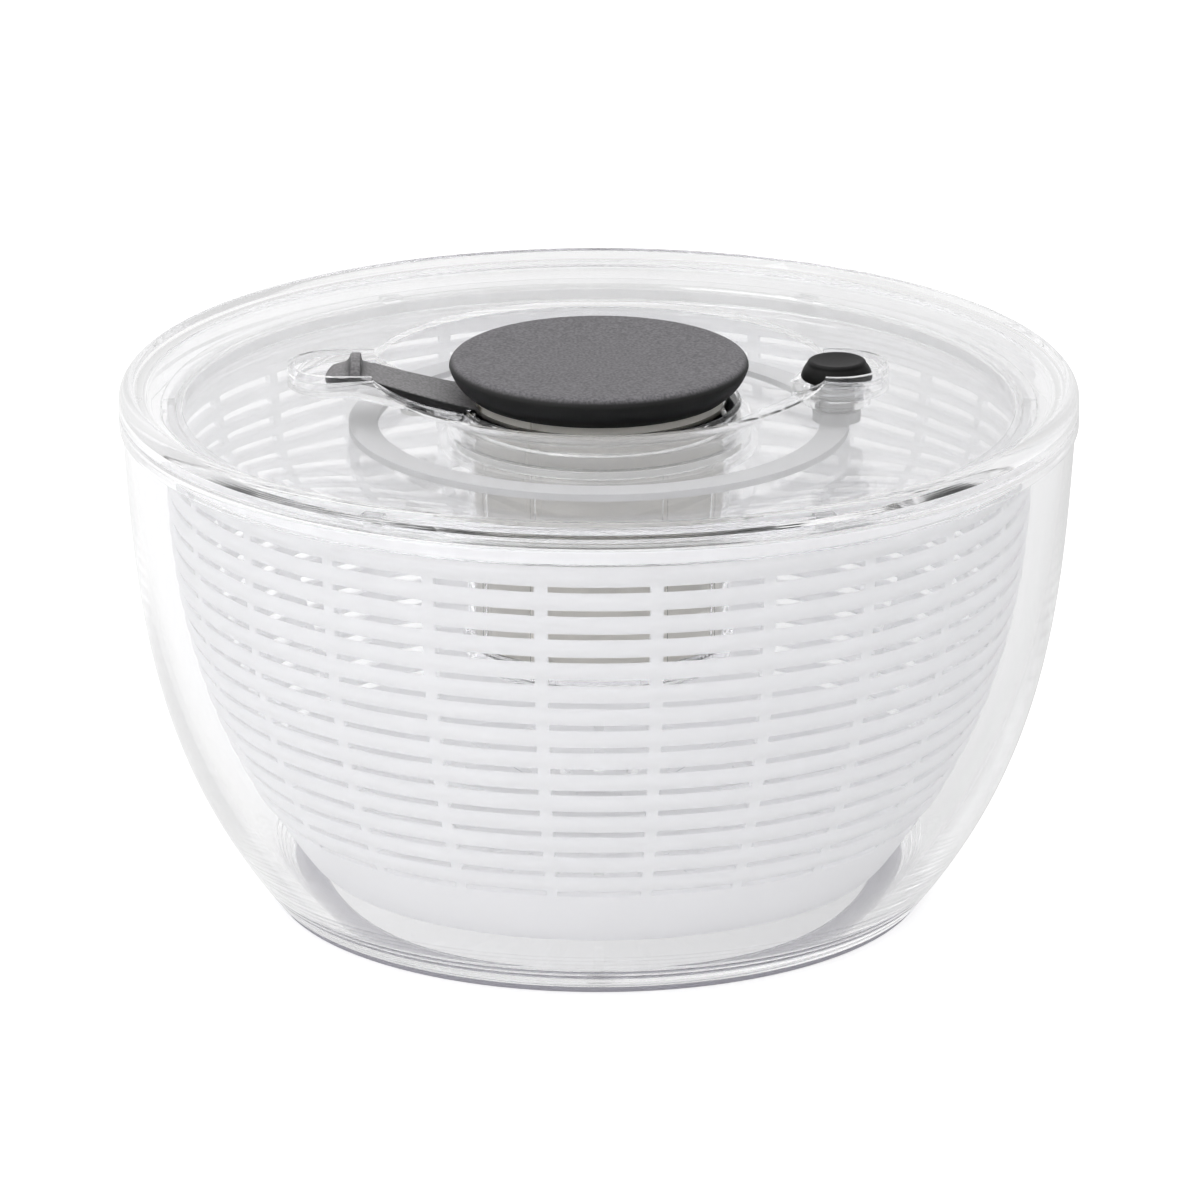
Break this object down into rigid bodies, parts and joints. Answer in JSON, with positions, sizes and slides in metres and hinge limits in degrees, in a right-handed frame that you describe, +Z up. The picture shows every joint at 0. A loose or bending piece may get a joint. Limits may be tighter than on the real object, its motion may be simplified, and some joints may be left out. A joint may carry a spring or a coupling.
{
  "type": "salad spinner",
  "caption": "Round salad spinner: clear bowl, slotted basket that turns inside, and a clear lid with a locking pump knob and a brake button.",
  "frame": {"origin": "centre of the base's underside", "axes": "+Z up along the pump's axis, the lock lever along -X, the brake button along +X"},
  "size_m": [0.2666, 0.2666, 0.155],
  "materials": {
    "clear_shell": "clear, glossy",
    "clear_lid": "clear, glossy",
    "clear_disc": "clear, glossy",
    "clear_housing": "clear, slightly smoky",
    "milky_basket": "translucent white",
    "milky_tube": "translucent white",
    "grip_rubber": "translucent grey non-slip",
    "acetal": "smooth",
    "hard_core": "smooth",
    "soft_touch": "fine matte grain",
    "lever_plastic": "satin",
    "button_rubber": "satin",
    "spring_steel": "drawn wire"
  },
  "bodies": {
    "base": {"bowl": "clear_shell", "base_grip_ring": "grip_rubber", "pivot_pin": "acetal"},
    "pivot": {"pivot_cup": "acetal"},
    "basket": {"basket": "milky_basket"},
    "lid": {"lid_cover": "clear_lid", "retaining_ring": "acetal", "brake_spring": "spring_steel"},
    "drive": {"drive_disc": "clear_disc", "pump_housing": "clear_housing", "housing_cap": "clear_housing", "ratchet_ring": "acetal", "thrust_washer": "acetal"},
    "spindle": {"drive_spindle": "acetal", "clutch_plate": "acetal"},
    "plunger": {"knob_core": "hard_core", "knob_grip": "soft_touch", "plunger_tube": "milky_tube", "drive_nut": "acetal", "return_spring": "spring_steel"},
    "lock": {"lock_lever": "lever_plastic", "lever_clip": "acetal"},
    "brake": {"brake_button": "button_rubber", "brake_post": "milky_tube", "brake_ring": "milky_tube"}
  },
  "joints": [
    {"name": "lid_lift", "type": "slide", "parent": "base", "child": "lid", "axis": [0, 0, 1], "range_m": [0, 0.3]},
    {"name": "basket_lift", "type": "slide", "parent": "base", "child": "pivot", "axis": [0, 0, 1], "range_m": [0, 0.15]},
    {"name": "basket_spin", "type": "hinge", "parent": "pivot", "child": "basket", "pos_m": [0, 0, 0.012], "axis": [0, 0, 1], "continuous": true},
    {"name": "drive_spin", "type": "hinge", "parent": "lid", "child": "drive", "pos_m": [0, 0, 0.13], "axis": [0, 0, 1], "continuous": true},
    {"name": "knob_pump", "type": "slide", "parent": "lid", "child": "plunger", "axis": [0, 0, 1], "range_m": [0, 0.038], "deforming": ["return_spring"]},
    {"name": "spindle_spin", "type": "hinge", "parent": "lid", "child": "spindle", "pos_m": [0, 0, 0.075], "axis": [0, 0, 1], "range_deg": [-290, 0]},
    {"name": "lock_slide", "type": "slide", "parent": "lid", "child": "lock", "axis": [-1, 0, 0], "range_m": [-0.0017, 0.0045]},
    {"name": "brake_press", "type": "slide", "parent": "lid", "child": "brake", "axis": [0, 0, -1], "range_m": [0, 0.0022], "stiffness_N_per_m": 400, "springref_m": -0.001, "deforming": ["brake_spring"]}
  ],
  "couplings": [
    {"joint": "basket_lift", "follows": "lid_lift", "ratio": 0.5},
    {"joint": "drive_spin", "follows": "basket_spin", "ratio": 1},
    {"joint": "spindle_spin", "follows": "knob_pump", "rad_per_m": -130.9}
  ]
}
